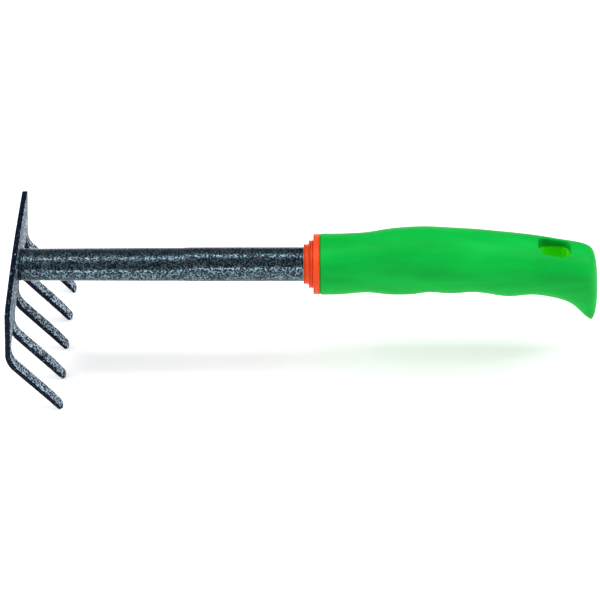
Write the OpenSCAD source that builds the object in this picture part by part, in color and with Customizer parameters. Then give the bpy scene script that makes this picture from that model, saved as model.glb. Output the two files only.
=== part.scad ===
// Hand rake: a stamped five-tine comb head welded to a tubular shaft,
// with a stepped collar and a moulded handle that ends in a hook.
// Units are millimetres. X runs from the head to the handle's end, Y across the head, Z up.
// The tine tips stand on z = 0, and x = 0 is halfway along the tool.

/* [Head] */
// Width of the head across all tines
head_w = 85.2; // [70:0.2:110]
// Number of tines
tine_count = 5; // [3:1:7]
// Width of one tine
tine_w = 5.5; // [4:0.5:8]
// Sheet thickness of the stamping
sheet_t = 2.6; // [1.5:0.1:3]
// Length of the flat plate from its top edge to the bend
plate_h = 27.4; // [22:0.2:34]
// How far the middle of the top edge stands above the shaft's axis
plate_top = 9.4; // [8:0.1:12]
// Rise of the top edge's arch from its ends to its middle
arch_rise = 0.4; // [0.3:0.1:3]
// Bow of the head in plan: how far its ends curve toward the handle
head_bow = 0.5; // [0.2:0.1:2]
// Lean of the plate away from the shaft, in degrees
plate_lean = 5; // [0:0.5:8]
// Sweep of the tines back under the shaft from the vertical, in degrees
tine_sweep = 36; // [25:1:45]
// Inside radius of the bend between the plate and the tines
bend_r = 12; // [6:0.5:14]
// Straight length of a tine, from the bend to its tip
tine_l = 33.4; // [25:0.2:45]
// Corner radius where a tine meets the plate
gullet_r = 2.5; // [1:0.5:5]
// Corner radius of a tine's tip
tip_round = 2; // [1:0.25:2]
// Length of the bevel that thins a tine's tip
tip_bevel_l = 9; // [5:0.5:12]
// Share of the sheet's thickness left at the very tip
tip_share = 0.7; // [0.4:0.05:0.9]

/* [Shaft] */
// Outside diameter of the tube
tube_d = 16; // [14:0.5:18]
// Wall thickness of the tube
tube_wall = 1.2; // [0.8:0.1:2]
// Length of the shaft from the plate to the collar
shaft_l = 133.4; // [100:0.2:180]
// Length of the pressed stretch next to the head
pressed_l = 76; // [50:1:90]
// Width of the pressed stretch, across its round flanks
pressed_d = 17; // [15:0.1:18]
// Height between the flats of the pressed stretch
pressed_h = 14.2; // [12:0.1:15]
// Length of the step from the pressed stretch to the round tube
step_l = 6; // [3:0.5:10]
// Length of tube inside the handle
tang_l = 86; // [60:1:100]
// Leg of the fillet weld between shaft and plate
weld_leg = 2.8; // [2:0.1:4]
// Height above the shaft's axis at which the weld ends on each flank
weld_top = 3.5; // [0:0.5:5]

/* [Collar] */
// Diameter of the collar's small ring
collar_d1 = 19.2; // [18:0.2:22]
// Diameter of the collar's middle ring
collar_d2 = 22.8; // [20:0.2:26]
// Diameter of the collar's flange
collar_d3 = 28.6; // [26:0.2:32]
// Diameter of the collar's spigot inside the handle
spigot_d = 21; // [19:0.2:23]
// Length of the collar's spigot
spigot_l = 8; // [4:0.5:12]

/* [Handle] */
// Droop of the handle's line below the shaft's axis, in degrees
handle_droop = 0.7; // [0:0.1:2]
// Radial clearance between the tube and the plastic around it
fit_gap = 0.05; // [0.02:0.01:0.1]
// Length of the hanging slot along the handle
slot_l = 15; // [13:0.5:17]
// Width of the hanging slot across the handle
slot_w = 11; // [8.5:0.5:12]
// Corner radius of the hanging slot
slot_round = 4; // [2:0.5:4]
// Place of the slot's middle, measured from the collar's flange
slot_x = 108.5; // [105:0.5:113]

/* [Hidden] */
$fn = 96;
far = 200;

// Collar lengths: small ring, middle ring, flange, and the grooves between them.
ring1_l = 2.5;
ring2_l = 1.8;
ring3_l = 2.8;
groove_l = 0.2;
groove_depth = 1;
collar_l = ring1_l + ring2_l + ring3_l + 2 * groove_l;

// Side view of the head. Points are [x, z] from the shaft's axis where the collar starts.
plate_in = [-cos(plate_lean), sin(plate_lean)] * -1;
plate_dir = [-sin(plate_lean), -cos(plate_lean)];
tine_in = [cos(tine_sweep), sin(tine_sweep)];
tine_dir = [sin(tine_sweep), -cos(tine_sweep)];
face_x = -shaft_l;
top_in = [face_x, 0] - plate_dir * plate_top / cos(plate_lean);
bend_start = top_in + plate_dir * plate_h;
bend_c = bend_start + plate_in * bend_r;
bend_out_r = bend_r + sheet_t;
bend_end = bend_c - tine_in * bend_r;
tine_root_out = bend_c - tine_in * bend_out_r;
tip_out = tine_root_out + tine_dir * tine_l;
head_min_x = bend_c[0] - bend_out_r;
gullet_rise = 2.6;
gullet_z = bend_start[1] + gullet_rise;
tine_pitch = (head_w - tine_w) / (tine_count - 1);
gap_w = tine_pitch - tine_w;
arch_r = (pow(head_w / 2, 2) + pow(arch_rise, 2)) / (2 * arch_rise);
corner_r = 1.4;
bend_steps = 14;
bow_r = (pow(head_w / 2, 2) + pow(head_bow, 2)) / (2 * head_bow);
bow_x = face_x + bow_r;
bow_angle = 2 * asin((head_w / 2 + 2) / (bow_r - 40));

// Handle. Each row is one cross-section: the top or outer point x and z, the bottom or
// inner point x and z, half the width, and the squareness of the section (2 is an ellipse).
// x is measured from the handle's front face, z from the shaft's axis.
sections = [
    [0,      13.7,    0,   -13.7, 13.7, 2],
    [0.8,    14.3,    0.8, -14.3, 14.3, 2],
    [10,     14.5,   10,   -14.0, 14.3, 2],
    [22,     15.8,   22,   -12.9, 13.9, 2],
    [32,     18.2,   32,   -14.3, 14.2, 2.05],
    [42,     19.0,   42,   -13.6, 14.8, 2.1],
    [51,     18.8,   51,   -11.5, 15.2, 2.1],
    [61,     18.2,   61,   -12.2, 15.2, 2.1],
    [73,     17.4,   73,   -11.3, 14.8, 2.1],
    [87,     16.4,   87,   -14.5, 14.0, 2.15],
    [98,     14.7,   98,   -13.1, 13.3, 2.25],
    [105,    13.6,  105,   -14.0, 12.8, 2.3],
    [111,    12.3,  110,   -15.3, 12.4, 2.4],
    [118,    11.2,  114.5, -17.3, 11.8, 2.5],
    [123.6,   9.9,  117.8, -19.8, 11.2, 2.6],
    [127.2,   7.4,  120,   -22.2, 10.7, 2.6],
    [129.0,   0.6,  121.8, -24.5, 10.1, 2.5],
    [130.0,  -9,    123.4, -26.5,  9.3, 2.4],
    [130.5, -18,    124.8, -28.0,  8.4, 2.3],
    [130.2, -25.2,  126.2, -29.0,  7.0, 2.2],
    [129.4, -29.4,  127.3, -30.8,  4.8, 2],
    [128.5, -31.2,  127.9, -31.5,  2.2, 2]
];
handle_l = 130.5;
rings_per_section = 3;
section_sides = 40;

// Whole tool: where the shaft's axis and the collar's start lie in the shared frame.
axis_z = -tip_out[1];
origin_x = -(head_min_x + collar_l + handle_l) / 2;

// Moves from the tool's own axis to the shared frame.
module place() {
    translate([origin_x, 0, axis_z]) children();
}

// A cylinder along X from x0 to x1, which may taper.
module along(x0, x1, d0, d1) {
    translate([x0, 0, 0]) rotate([0, 90, 0]) cylinder(h = x1 - x0, d1 = d0, d2 = d1);
}

// Sweeps a side view along the head's bow, an arc in plan about a distant upright axis.
module bowed() {
    translate([bow_x, 0, 0]) rotate([0, 0, 180 - bow_angle / 2])
        rotate_extrude(angle = bow_angle, $fn = 1800) translate([bow_x, 0]) mirror([1, 0]) children();
}

// Everything on the outer side of the plate's inner face, taken at the middle of its bow.
module behind_plate() {
    translate([face_x, 0, 0]) rotate([0, -plate_lean, 0]) mirror([1, 0, 0])
        translate([0, -far / 2, -far / 2]) cube(far);
}

// Side view of the whole stamping: plate, bend and tine as one bent strip whose tip is bevelled.
module side_2d() {
    function arc(r) =
        [for (k = [0 : bend_steps])
            let (a = 180 - plate_lean + (plate_lean + tine_sweep) * k / bend_steps)
            bend_c + r * [cos(a), sin(a)]];
    inner_end = bend_end + tine_dir * (tine_l - tip_bevel_l);
    inner_tip = tip_out + tine_in * sheet_t * tip_share;
    inner = concat([top_in], arc(bend_r), [inner_end, inner_tip]);
    outer = concat([top_in - plate_in * sheet_t], arc(bend_out_r), [tip_out]);
    polygon(concat(inner, [for (k = [len(outer) - 1 : -1 : 0]) outer[k]]));
}

// Front view of the plate: an arched top edge with round corners, and the gaps between tines.
// It is drawn with y across and z up, and passes right through along X.
module front_2d() {
    top_z = plate_top - arch_rise;
    difference() {
        intersection() {
            translate([0, plate_top - arch_r]) circle(arch_r, $fn = 720);
            union() {
                translate([-head_w / 2, -far]) square([head_w, far + top_z - corner_r]);
                translate([corner_r - head_w / 2, -far]) square([head_w - 2 * corner_r, 2 * far]);
                for (side = [-1, 1])
                    translate([side * (head_w / 2 - corner_r), top_z - corner_r]) circle(corner_r);
            }
        }
        for (i = [0 : tine_count - 2])
            translate([(i + 1) * tine_pitch + (tine_w - head_w - tine_pitch) / 2, gullet_z]) gap_2d();
    }
}

// One gap between two tines, open downwards from z = 0, with round corners at its top.
module gap_2d() {
    translate([-gap_w / 2, -far]) square([gap_w, far - gullet_r]);
    translate([gullet_r - gap_w / 2, -far]) square([gap_w - 2 * gullet_r, far]);
    for (side = [-1, 1])
        translate([side * (gap_w / 2 - gullet_r), -gullet_r]) circle(gullet_r);
}

// What is taken off the corners of one tine's tip to round them. It is centred on the tine.
module tip_corners() {
    slack = 0.05;
    half = tine_w / 2 + slack;
    center_x = slack - tip_round;
    translate([tip_out[0], 0, tip_out[1]]) rotate([0, -tine_sweep, 0]) rotate([0, 90, 0])
        translate([0, 0, -1]) linear_extrude(sheet_t + 2) difference() {
            translate([center_x, -half - 1]) square([tip_round + 1, 2 * half + 2]);
            translate([center_x, tip_round - half]) square([tip_round, 2 * (half - tip_round)]);
            for (side = [-1, 1])
                translate([center_x, side * (half - tip_round)]) circle(tip_round);
        }
}

module rake_head() {
    color("#26313b") place() difference() {
        intersection() {
            bowed() side_2d();
            translate([-far, 0, 0]) rotate([90, 0, 90]) linear_extrude(2 * far) front_2d();
        }
        for (i = [0 : tine_count - 1]) {
            y = i * tine_pitch + (tine_w - head_w) / 2;
            translate([bow_r - sqrt(pow(bow_r, 2) - pow(y, 2)), y, 0]) tip_corners();
        }
    }
}

// Outer shape of the shaft: pressed near the head, stepping out to the round tube.
module shaft_outline(end_x) {
    step_x = face_x + pressed_l;
    intersection() {
        along(face_x - tube_d, step_x, pressed_d, pressed_d);
        translate([face_x - tube_d, -tube_d, -pressed_h / 2]) cube([far, 2 * tube_d, pressed_h]);
    }
    along(step_x, step_x + step_l, pressed_h, tube_d);
    along(step_x + step_l, end_x, tube_d, tube_d);
}

module shaft_tube() {
    end_x = collar_l + tang_l;
    color("#2b3944") place() difference() {
        shaft_outline(end_x);
        along(face_x - far, end_x + 1, pressed_h - 2 * tube_wall, pressed_h - 2 * tube_wall);
        behind_plate();
    }
}

// The weld runs round the shaft's underside and up both flanks.
module weld_bead() {
    color("#1f2a33") place() difference() {
        along(face_x - weld_leg, face_x + weld_leg, pressed_d + 4 * weld_leg, pressed_d - 0.2);
        shaft_outline(0);
        behind_plate();
        along(face_x - far, face_x + far, pressed_h / 2, pressed_h / 2);
        translate([-far, -far / 2, weld_top]) cube(far);
    }
}

module collar() {
    bore_d = tube_d + 2 * fit_gap;
    ring2_x = ring1_l + groove_l;
    ring3_x = ring2_x + ring2_l + groove_l;
    edge = 0.3;
    color("#ff5326") place() difference() {
        union() {
            along(0, edge, collar_d1 - 2 * edge, collar_d1);
            along(edge, ring1_l, collar_d1, collar_d1);
            along(ring1_l, ring2_x, collar_d1 - groove_depth, collar_d1 - groove_depth);
            along(ring2_x, ring2_x + edge, collar_d2 - 2 * edge, collar_d2);
            along(ring2_x + edge, ring2_x + ring2_l, collar_d2, collar_d2);
            along(ring2_x + ring2_l, ring3_x, collar_d2 - groove_depth, collar_d2 - groove_depth);
            along(ring3_x, ring3_x + edge, collar_d3 - 2 * edge, collar_d3);
            along(ring3_x + edge, collar_l, collar_d3, collar_d3);
            along(collar_l, collar_l + spigot_l, spigot_d, spigot_d);
        }
        along(-1, collar_l + spigot_l + 1, bore_d, bore_d);
    }
}

// Smooth curve through four values, at t from 0 to 1 between the middle two.
function smooth(a, b, c, d, t) =
    0.5 * (2 * b + (c - a) * t + (2 * a - 5 * b + 4 * c - d) * t * t + (3 * b - a - 3 * c + d) * t * t * t);

// The section at a fractional place along the list.
function section_at(i, t) =
    let (last = len(sections) - 1)
    smooth(sections[max(i - 1, 0)], sections[i], sections[min(i + 1, last)], sections[min(i + 2, last)], t);

// A section moved down by the handle's droop.
function drooped(s) =
    let (fall = tan(handle_droop))
    [s[0], s[1] - fall * s[0], s[2], s[3] - fall * s[2], s[4], s[5]];

// One ring of points around a section.
function signed_pow(v, p) = sign(v) * pow(abs(v), p);
function ring(s) =
    let (mid = [(s[0] + s[2]) / 2, 0, (s[1] + s[3]) / 2], half = [(s[0] - s[2]) / 2, 0, (s[1] - s[3]) / 2])
    [for (k = [0 : section_sides - 1])
        let (a = 360 * k / section_sides)
        mid + half * signed_pow(cos(a), 2 / s[5]) + [0, s[4] * signed_pow(sin(a), 2 / s[5]), 0]];

module handle_solid() {
    last = len(sections) - 1;
    rings = concat(
        [for (i = [0 : last - 1], j = [0 : rings_per_section - 1])
            ring(drooped(section_at(i, j / rings_per_section)))],
        [ring(drooped(sections[last]))]);
    n = section_sides;
    sides = [for (r = [0 : len(rings) - 2], k = [0 : n - 1], half = [0, 1])
        let (a = r * n + k, b = r * n + (k + 1) % n)
        half == 0 ? [a, b, b + n] : [a, b + n, a + n]];
    front_end = [for (k = [n - 1 : -1 : 0]) k];
    hook_end = [for (k = [0 : n - 1]) (len(rings) - 1) * n + k];
    polyhedron(
        points = [for (r = rings, p = r) p],
        faces = concat([front_end], sides, [hook_end]),
        convexity = 8);
}

// The hanging slot: a vertical hole with round corners.
module slot() {
    reach_x = slot_l / 2 - slot_round;
    reach_y = slot_w / 2 - slot_round;
    translate([slot_x, 0, -far / 2]) {
        for (end = [-1, 1], side = [-1, 1])
            translate([end * reach_x, side * reach_y, 0]) cylinder(h = far, r = slot_round);
        translate([-reach_x, -slot_w / 2, 0]) cube([2 * reach_x, slot_w, far]);
        translate([-slot_l / 2, -reach_y, 0]) cube([slot_l, 2 * reach_y, far]);
    }
}

module handle_grip() {
    bore_d = tube_d + 2 * fit_gap;
    spigot_bore = spigot_d + 2 * fit_gap;
    color("#12b24a") place() translate([collar_l, 0, 0]) difference() {
        handle_solid();
        along(-1, spigot_l + 0.5, spigot_bore, spigot_bore);
        along(-1, tang_l + 1, bore_d, bore_d);
        slot();
    }
}

rake_head();
weld_bead();
shaft_tube();
collar();
handle_grip();
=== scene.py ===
import math

import bpy
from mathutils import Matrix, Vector


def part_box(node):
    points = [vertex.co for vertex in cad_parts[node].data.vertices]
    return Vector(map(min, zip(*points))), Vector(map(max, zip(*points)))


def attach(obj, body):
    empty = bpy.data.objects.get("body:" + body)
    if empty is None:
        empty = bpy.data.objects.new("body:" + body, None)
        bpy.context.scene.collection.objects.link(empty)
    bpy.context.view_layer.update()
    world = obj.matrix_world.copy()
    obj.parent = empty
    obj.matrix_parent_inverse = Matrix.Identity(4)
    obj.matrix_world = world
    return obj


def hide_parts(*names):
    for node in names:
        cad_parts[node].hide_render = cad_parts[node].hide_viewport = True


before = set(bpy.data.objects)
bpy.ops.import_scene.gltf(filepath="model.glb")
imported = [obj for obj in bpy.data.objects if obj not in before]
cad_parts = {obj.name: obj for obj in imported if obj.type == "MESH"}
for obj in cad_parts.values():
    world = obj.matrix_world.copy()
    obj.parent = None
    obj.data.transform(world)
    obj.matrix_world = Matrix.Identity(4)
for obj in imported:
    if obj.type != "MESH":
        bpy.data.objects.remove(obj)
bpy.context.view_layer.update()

MM = 0.001
NODES = ("rake_head", "weld_bead", "shaft_tube", "collar", "handle_grip")
BOX = {name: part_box(name) for name in NODES}

# Landmarks worked out from the frame, in metres.
AXIS_Z = (BOX["collar"][0].z + BOX["collar"][1].z) / 2
COLLAR_X = BOX["collar"][0].x
FACE_X = BOX["shaft_tube"][0].x
GRIP_X = BOX["handle_grip"][0].x

# The hanging slot: its middle, the grip's surface there, and how deep its shaded part reaches. Below
# that the slot's walls are painted light.
SLOT_X = GRIP_X + 108.5 * MM
SLOT_TOP_Z = AXIS_Z + 11.5 * MM
SLOT_SHADE = 5.2 * MM

# Slope of the plate's lean, which the end of the shaft and the weld follow.
LEAN = math.tan(math.radians(5))


# ---------------------------------------------------------------- helpers

def linked(name, mesh, slot, *nodes):
    """Makes a piece from a mesh, rides it on the tool and lets it stand for CAD nodes."""
    piece = bpy.data.objects.new(name, mesh)
    bpy.context.scene.collection.objects.link(piece)
    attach(piece, "root")
    if nodes:
        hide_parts(*nodes)
    return piece


def smooth_shaded(mesh):
    mesh.polygons.foreach_set("use_smooth", [True] * len(mesh.polygons))


def apply_modifiers(piece):
    """Turns a piece's modifiers into its mesh."""
    graph = bpy.context.evaluated_depsgraph_get()
    mesh = bpy.data.meshes.new_from_object(piece.evaluated_get(graph))
    piece.modifiers.clear()
    piece.data = mesh
    smooth_shaded(mesh)


def refined_copy(node, name, slot, voxel, smoothing):
    """Copies a CAD node's mesh, remeshes it evenly and softens its edges."""
    piece = linked(name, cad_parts[node].data.copy(), slot, node)
    remesh = piece.modifiers.new("even", "REMESH")
    remesh.mode = "VOXEL"
    remesh.voxel_size = voxel
    soften = piece.modifiers.new("soften", "SMOOTH")
    soften.factor = 0.5
    soften.iterations = smoothing
    apply_modifiers(piece)
    return piece


def lofted(name, rings, slot, *nodes, closed_ends=True):
    """Skins equal rings of points, listed in order, into one closed tube."""
    mesh = bpy.data.meshes.new(name)
    n = len(rings[0])
    points = [p for ring in rings for p in ring]
    faces = []
    for r in range(len(rings) - 1):
        for k in range(n):
            a, b = r * n + k, r * n + (k + 1) % n
            faces.append((a, b, b + n, a + n))
    if closed_ends:
        faces.append(tuple(range(n - 1, -1, -1)))
        faces.append(tuple(range((len(rings) - 1) * n, len(rings) * n)))
    mesh.from_pydata(points, [], faces)
    mesh.update()
    smooth_shaded(mesh)
    return linked(name, mesh, slot, *nodes)


def revolved(name, profile, sides, slot, *nodes):
    """Turns a closed profile of (x, radius) points about the shaft's axis into a ring."""
    rings = []
    for k in range(sides):
        a = 2 * math.pi * k / sides
        rings.append([(x, r * math.sin(a), AXIS_Z + r * math.cos(a)) for x, r in profile])
    rings.append(rings[0])
    piece = lofted(name, rings, slot, *nodes, closed_ends=False)
    weld = piece.modifiers.new("weld", "WELD")
    weld.merge_threshold = 0.001 * MM
    apply_modifiers(piece)
    return piece


def rounded_corner(x, r, turn_x, turn_r, radius, steps=5):
    """Arc points that round one right-angled corner of a stepped profile.

    The turns say on which side of the corner the arc's centre lies, along x and along r.
    """
    points = []
    for k in range(steps + 1):
        a = math.pi / 2 * k / steps
        points.append((x + turn_x * radius * (1 - math.sin(a)), r + turn_r * radius * (1 - math.cos(a))))
    return points


def ease(t):
    """Smooth step from 0 to 1."""
    t = min(max(t, 0.0), 1.0)
    return t * t * (3 - 2 * t)


# ---------------------------------------------------------------- materials

class Nodes:
    """A short way to write a material's node tree."""

    def __init__(self, name):
        self.material = bpy.data.materials.new(name)
        self.material.use_nodes = True
        self.tree = self.material.node_tree
        self.tree.nodes.clear()
        self.output = self.add("ShaderNodeOutputMaterial")
        self.shader = self.add("ShaderNodeBsdfPrincipled")
        self.link(self.shader, "BSDF", self.output, "Surface")
        self.place = self.add("ShaderNodeTexCoord")

    def add(self, kind, **inputs):
        node = self.tree.nodes.new(kind)
        for key, value in inputs.items():
            if key in node.inputs:
                node.inputs[key].default_value = value
            else:
                setattr(node, key, value)
        return node

    def link(self, a, out, b, into):
        self.tree.links.new(a.outputs[out], b.inputs[into])

    def noise(self, scale, detail=2.0, roughness=0.5, distortion=0.0, vector=None):
        node = self.add("ShaderNodeTexNoise", Scale=scale, Detail=detail, Roughness=roughness,
                        Distortion=distortion)
        self.link(vector or self.place, "Vector" if vector else "Object", node, "Vector")
        return node

    def ramp(self, source, out, *stops):
        node = self.add("ShaderNodeValToRGB")
        elements = node.color_ramp.elements
        while len(elements) > 1:
            elements.remove(elements[-1])
        elements[0].position, elements[0].color = stops[0][0], (*stops[0][1], 1)
        for position, color in stops[1:]:
            elements.new(position).color = (*color, 1)
        self.link(source, out, node, "Fac")
        return node

    def math(self, operation, a, b):
        node = self.add("ShaderNodeMath", operation=operation)
        for socket, value in enumerate((a, b)):
            if isinstance(value, tuple):
                self.tree.links.new(value[0].outputs[value[1]], node.inputs[socket])
            else:
                node.inputs[socket].default_value = value
        return node

    def bump(self, source, out, strength, distance, normal=None):
        node = self.add("ShaderNodeBump", Strength=strength, Distance=distance)
        self.link(source, out, node, "Height")
        if normal:
            self.link(normal, "Normal", node, "Normal")
        return node


def gray(v):
    """The same value in all three colour channels."""
    return (v, v, v)


def hammer_paint(name, tint, shade, metallic, specular, roughness, painted_edge_shade=False):
    """Hammertone enamel: blue-black dimples in a network of silver-blue veins.

    The edge option is for the stamped head: its cut edges, which face sideways or up, get fewer veins,
    so their relief is smoother and their colour is painted darker, as shade. The enamel is blotched on
    the plate's inner face.
    """
    m = Nodes(name)
    # Cells somewhat under a millimetre across, pushed out of shape. Their borders are the veins.
    wobble_size = 1.2 * MM
    wobble = m.noise(1000, detail=2.0, roughness=0.6)
    shift = m.add("ShaderNodeVectorMath", operation="MULTIPLY_ADD")
    m.link(wobble, "Color", shift, 0)
    shift.inputs[1].default_value = (wobble_size, wobble_size, wobble_size)
    m.link(m.place, "Object", shift, 2)
    cells = m.add("ShaderNodeTexVoronoi", feature="F1", Scale=1150.0, Randomness=1.0)
    m.link(shift, "Vector", cells, "Vector")
    patches = m.noise(300, detail=2.0)
    veins = m.math("MULTIPLY_ADD", (patches, "Fac"), 0.45)
    m.tree.links.new(cells.outputs["Distance"], veins.inputs[2])
    if painted_edge_shade:
        # The cut edges face sideways or up. The plate's inner face looks along the shaft.
        shape = m.add("ShaderNodeNewGeometry")
        facing = m.add("ShaderNodeSeparateXYZ")
        m.link(shape, "Normal", facing, "Vector")
        across = m.math("ABSOLUTE", (facing, "Y"), 0.0)
        steepest = m.math("MAXIMUM", (across, "Value"), (facing, "Z"))
        # Painted shade: faces turned sideways or up lose veins, so they come out darker and smoother.
        edge_shade_mask = m.ramp(steepest, "Value", (0.72, gray(0.0)), (0.92, gray(0.34)))
        veins = m.math("SUBTRACT", (veins, "Value"), (edge_shade_mask, "Color"))
        plate = m.ramp(facing, "X", (0.9, gray(0.0)), (0.98, gray(1.0)))
        smears = m.noise(170, detail=3.0, roughness=0.7)
        mottle = m.ramp(smears, "Fac", (0.46, gray(0.0)), (0.6, gray(0.2)))
        blotches = m.math("MULTIPLY", (plate, "Color"), (mottle, "Color"))
        veins = m.math("SUBTRACT", (veins, "Value"), (blotches, "Value"))
    # The tint shows on the veins and the shade in the dimples between them.
    paint = m.ramp(veins, "Value",
                   (0.5, tuple(0.5 * c for c in shade)), (0.66, shade),
                   (0.77, tuple(0.3 * c for c in tint)), (0.92, tint))
    m.link(paint, "Color", m.shader, "Base Color")
    metal = m.ramp(veins, "Value", (0.6, gray(0.0)), (0.82, gray(metallic)))
    m.link(metal, "Color", m.shader, "Metallic")
    gloss = m.ramp(veins, "Value", (0.5, gray(roughness - 0.04)), (0.85, gray(roughness + 0.03)))
    m.link(gloss, "Color", m.shader, "Roughness")
    m.shader.inputs["Specular IOR Level"].default_value = specular
    height = m.ramp(veins, "Value", (0.45, gray(0.0)), (0.85, gray(1.0)))
    relief = m.bump(height, "Color", 0.5, 0.07 * MM)
    m.link(relief, "Normal", m.shader, "Normal")
    return m.material


def painted_slot_light_mask(m):
    """1 on the hanging slot's walls below its shaded upper part, where they are painted as lit through
    the slot from below, 0 everywhere else.
    """
    point = m.add("ShaderNodeSeparateXYZ")
    m.link(m.place, "Object", point, "Vector")
    off_x = m.math("SUBTRACT", (point, "X"), SLOT_X)
    off_x = m.math("ABSOLUTE", (off_x, "Value"), 0.0)
    off_y = m.math("ABSOLUTE", (point, "Y"), 0.0)
    half_length, half_width, fade = 7.8 * MM, 5.8 * MM, 0.8 * MM
    in_x = m.math("LESS_THAN", (off_x, "Value"), half_length)
    in_y = m.math("LESS_THAN", (off_y, "Value"), half_width)
    below = m.math("SUBTRACT", SLOT_TOP_Z - SLOT_SHADE, (point, "Z"))
    deep = m.math("DIVIDE", (below, "Value"), fade)
    deep.use_clamp = True
    inside = m.math("MULTIPLY", (in_x, "Value"), (in_y, "Value"))
    return m.math("MULTIPLY", (inside, "Value"), (deep, "Value"))


def moulded_plastic(name, light, dark, roughness, specular, slot_light_color=None):
    """Satin moulded plastic: a fine grain, and faint lighter and darker streaks drawn out along the
    tool, painted to stand for streaky sheen.

    A slot colour, if given, is painted light: a bright colour on the deeper part of the hanging slot's
    walls, standing for light that comes up through the slot.
    """
    m = Nodes(name)
    # Painted sheen: streaks of lighter and darker colour, drawn out along the tool.
    stretch = 0.22
    along = m.add("ShaderNodeVectorMath", operation="MULTIPLY")
    m.link(m.place, "Object", along, 0)
    along.inputs[1].default_value = (stretch, 1.0, 1.0)
    drift = m.noise(95, detail=3.0, vector=along)
    color = m.ramp(drift, "Fac", (0.36, dark), (0.64, light))
    if slot_light_color:
        # The Mix node's colour sockets share their names with others, so they go by number.
        factor, first, second, result = 0, 6, 7, 2
        # Painted light: the deep slot walls are mixed to the bright slot colour.
        lit = m.add("ShaderNodeMix", data_type="RGBA")
        m.link(painted_slot_light_mask(m), "Value", lit, factor)
        m.link(color, "Color", lit, first)
        lit.inputs[second].default_value = (*slot_light_color, 1)
        m.link(lit, result, m.shader, "Base Color")
    else:
        m.link(color, "Color", m.shader, "Base Color")
    scuffs = m.noise(160, detail=6.0, roughness=0.7)
    gloss = m.ramp(scuffs, "Fac", (0.3, gray(roughness - 0.04)), (0.7, gray(roughness + 0.08)))
    m.link(gloss, "Color", m.shader, "Roughness")
    m.shader.inputs["Specular IOR Level"].default_value = specular
    grain = m.noise(2600, detail=2.0, roughness=0.6)
    waves = m.noise(60, detail=1.0)
    relief = m.bump(waves, "Fac", 0.12, 0.8 * MM)
    relief = m.bump(grain, "Fac", 0.12, 0.06 * MM, relief)
    m.link(relief, "Normal", m.shader, "Normal")
    return m.material


def floor_material():
    """A pale matt floor with a little light of its own, which keeps shadows faint."""
    m = Nodes("studio_floor")
    drift = m.noise(6, detail=2.0)
    color = m.ramp(drift, "Fac", (0.3, gray(0.9)), (0.7, gray(0.92)))
    m.link(color, "Color", m.shader, "Base Color")
    m.shader.inputs["Roughness"].default_value = 0.9
    m.shader.inputs["Emission Color"].default_value = (1, 1, 1, 1)
    m.shader.inputs["Emission Strength"].default_value = 0.35
    return m.material


# ---------------------------------------------------------------- stage

def aim(thing, target):
    """Points a camera or lamp at a place."""
    thing.rotation_euler = (Vector(target) - thing.location).to_track_quat("-Z", "Y").to_euler()


def make_camera():
    """A long lens above and in front of the tool, turned a little about its own line of sight."""
    azimuth, elevation, roll = math.radians(1.2), math.radians(44), math.radians(0.9)
    distance, lens = 1.075, 138.3
    aim_drop, aim_back = 16.74 * MM, 2 * MM
    back = Vector((math.sin(azimuth) * math.cos(elevation), -math.cos(azimuth) * math.cos(elevation),
                   math.sin(elevation)))
    up = Vector((-math.sin(azimuth) * math.sin(elevation), math.cos(azimuth) * math.sin(elevation),
                 math.cos(elevation)))
    target = Vector((COLLAR_X - aim_back, 0, AXIS_Z)) - up * aim_drop
    camera = bpy.data.objects.new("camera", bpy.data.cameras.new("camera"))
    camera.location = target + back * distance
    aim(camera, target)
    camera.rotation_euler.rotate_axis("Z", -roll)
    camera.data.lens = lens
    camera.data.clip_end = 20
    bpy.context.scene.collection.objects.link(camera)
    bpy.context.scene.camera = camera


def area_light(name, place, target, size, power, size_y=None):
    """A soft rectangular lamp, square unless its other side is given."""
    light = bpy.data.lights.new(name, "AREA")
    light.shape = "RECTANGLE"
    light.size, light.size_y = size, size_y or size
    light.energy = power
    lamp = bpy.data.objects.new(name, light)
    lamp.location = place
    aim(lamp, target)
    bpy.context.scene.collection.objects.link(lamp)


def make_stage():
    """The floor, an almost dark room, and four lamps: a strip above, one in front, two at the sides."""
    floor = bpy.data.objects.new("floor", bpy.data.meshes.new("floor"))
    half = 4.0
    corners = [(-half, -half, 0), (half, -half, 0), (half, half, 0), (-half, half, 0)]
    floor.data.from_pydata(corners, [], [(0, 1, 2, 3)])
    floor.data.materials.append(floor_material())
    bpy.context.scene.collection.objects.link(floor)
    world = bpy.data.worlds.new("studio")
    world.use_nodes = True
    background = world.node_tree.nodes["Background"]
    background.inputs["Color"].default_value = (1, 1, 1, 1)
    background.inputs["Strength"].default_value = 0.1
    bpy.context.scene.world = world
    bpy.context.scene.view_settings.view_transform = "Standard"
    middle = (0, 0, AXIS_Z)
    area_light("overhead", (0.0, 0.25, 1.25), middle, size=1.6, power=6.0, size_y=0.2)
    area_light("front", (-0.22, -1.3, 0.33), (-0.08, 0, AXIS_Z), size=0.7, power=3.2, size_y=0.12)
    area_light("left", (-1.3, 0.0, 1.3), middle, size=1.2, power=22.0)
    area_light("right", (1.3, 0.0, 1.3), middle, size=1.2, power=26.0)


# ---------------------------------------------------------------- pieces

def make_head(paint):
    """The stamping: an even copy of the CAD head with its cut edges softened."""
    voxel, smoothing = 0.36 * MM, 2
    head = refined_copy("rake_head", "rake_head_stamping", "hammer_paint", voxel, smoothing)
    head.data.materials.clear()
    head.data.materials.append(paint)


def make_handle(plastic):
    """The grip: an even copy of the CAD handle, smoothed until its facets are gone."""
    voxel, smoothing = 0.6 * MM, 4
    handle = refined_copy("handle_grip", "handle_grip_moulding", "grip_plastic", voxel, smoothing)
    handle.data.materials.clear()
    handle.data.materials.append(plastic)


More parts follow.
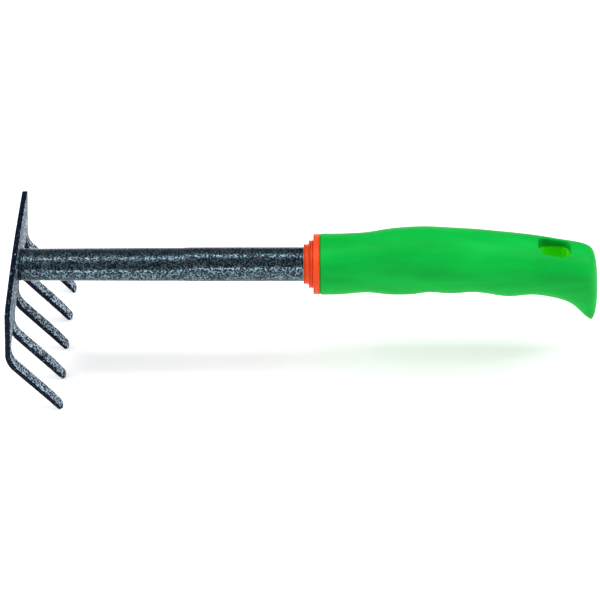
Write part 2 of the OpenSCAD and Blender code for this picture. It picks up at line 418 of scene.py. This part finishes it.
def make_shaft(paint):
    """The tube: an oval pressed stretch by the head, a short blend, then round to the collar."""
    end = BOX["shaft_tube"][1].x - FACE_X
    round_r = 8.0 * MM
    oval_y, oval_z = 8.5 * MM, 7.1 * MM
    head_y, head_z = 8.2 * MM, 6.75 * MM
    taper_l, hug_l = 60 * MM, 4 * MM
    step_start, step_end = 74.5 * MM, 83 * MM
    stretch_rings, step_rings, sides = 24, 18, 96
    stations = [t * step_start / stretch_rings for t in range(stretch_rings)]
    stations += [step_start + t * (step_end - step_start) / step_rings for t in range(step_rings)]
    stations += [step_end + t * (end - step_end) / stretch_rings for t in range(stretch_rings + 1)]
    rings = []
    for d in stations:
        taper = min(d / taper_l, 1)
        y_r, z_r = head_y + (oval_y - head_y) * taper, head_z + (oval_z - head_z) * taper
        blend = ease((d - step_start) / (step_end - step_start))
        y_r, z_r = y_r + (round_r - y_r) * blend, z_r + (round_r - z_r) * blend
        hug = max(0.0, 1 - d / hug_l)
        ring = []
        for k in range(sides):
            a = 2 * math.pi * k / sides
            y, z = y_r * math.sin(a), z_r * math.cos(a)
            ring.append((FACE_X + d + z * LEAN * hug, y, AXIS_Z + z))
        rings.append(ring)
    shaft = lofted("shaft", rings, "hammer_paint", "shaft_tube")
    shaft.data.materials.append(paint)


def make_collar(plastic):
    """The stepped orange ferrule, with every edge broken as moulded plastic is."""
    round_off, back_round_off = 0.35 * MM, 0.1 * MM
    # Each ring's start and end from the collar's front, and its diameter, in millimetres.
    steps = ((0.0, 2.5, 19.2), (2.5, 4.3, 22.8), (4.5, 7.49, 28.6))
    flange = steps[-1]
    bore = 8.05 * MM
    groove_r, groove_l = 10.9 * MM, 0.2 * MM
    spigot_end, spigot_r = BOX["collar"][1].x, 10.5 * MM
    profile = [(spigot_end, bore), (COLLAR_X, bore)]
    for step in steps:
        start, end, width = step
        x0, x1, r = COLLAR_X + start * MM, COLLAR_X + end * MM, width / 2 * MM
        if step is flange:
            profile += [(x0 - groove_l, groove_r), (x0, groove_r)]
        profile += rounded_corner(x0, r, 1, -1, round_off)
        end_round_off = back_round_off if step is flange else round_off
        profile += rounded_corner(x1, r, -1, -1, end_round_off)[::-1]
    profile += [(GRIP_X, spigot_r), (spigot_end, spigot_r)]
    collar = revolved("collar_ferrule", profile, 128, "collar_plastic", "collar")
    collar.data.materials.append(plastic)


def make_weld(paint):
    """The fillet weld round the shaft's foot: a rippled bead that varies in width as it was run."""
    path_y, path_z = 8.2 * MM, 6.7 * MM
    bead_r, spread = 1.15 * MM, 1.15
    steady, ripple_depth, wander_depth = 0.86, 0.12, 0.045
    ripples, turns, around = 34, 272, 14
    rings = []
    for k in range(turns + 1):
        a = 2 * math.pi * (k % turns) / turns
        ripple = abs(math.sin(ripples * a / 2))
        wander = math.sin(3 * a + 0.7) + 0.6 * math.sin(7 * a + 2.1)
        r = bead_r * (steady + ripple_depth * ripple + wander_depth * wander)
        y, z = path_y * math.sin(a), path_z * math.cos(a)
        x = FACE_X + z * LEAN
        ring = []
        for j in range(around):
            b = 2 * math.pi * j / around
            out = 1 + r * math.cos(b) / math.hypot(y, z)
            ring.append((x + spread * r * math.sin(b), y * out, AXIS_Z + z * out))
        rings.append(ring)
    weld = lofted("weld", rings, "hammer_paint", "weld_bead", closed_ends=False)
    weld.data.materials.append(paint)


make_camera()
make_stage()
tube_paint = hammer_paint(
    "hammer_paint", tint=(0.15, 0.235, 0.285), shade=(0.002, 0.009, 0.019),
    metallic=0.9, specular=0.2, roughness=0.26)
# The head's paint darkens its cut edges as painted shade.
head_paint = hammer_paint(
    "hammer_paint_head", tint=(0.43, 0.56, 0.68), shade=(0.003, 0.011, 0.030),
    metallic=0.45, specular=0.05, roughness=0.5, painted_edge_shade=True)
# The grip's slot colour is painted light on the deep slot walls.
green = moulded_plastic(
    "grip_plastic", light=(0.0030, 0.46, 0.053), dark=(0.0022, 0.37, 0.039),
    roughness=0.45, specular=0.06, slot_light_color=(0.10, 0.85, 0.002))
orange = moulded_plastic(
    "collar_plastic", light=(0.84, 0.080, 0.017), dark=(0.78, 0.072, 0.014),
    roughness=0.42, specular=0.15)
make_head(head_paint)
make_handle(green)
make_shaft(tube_paint)
make_weld(tube_paint)
make_collar(orange)
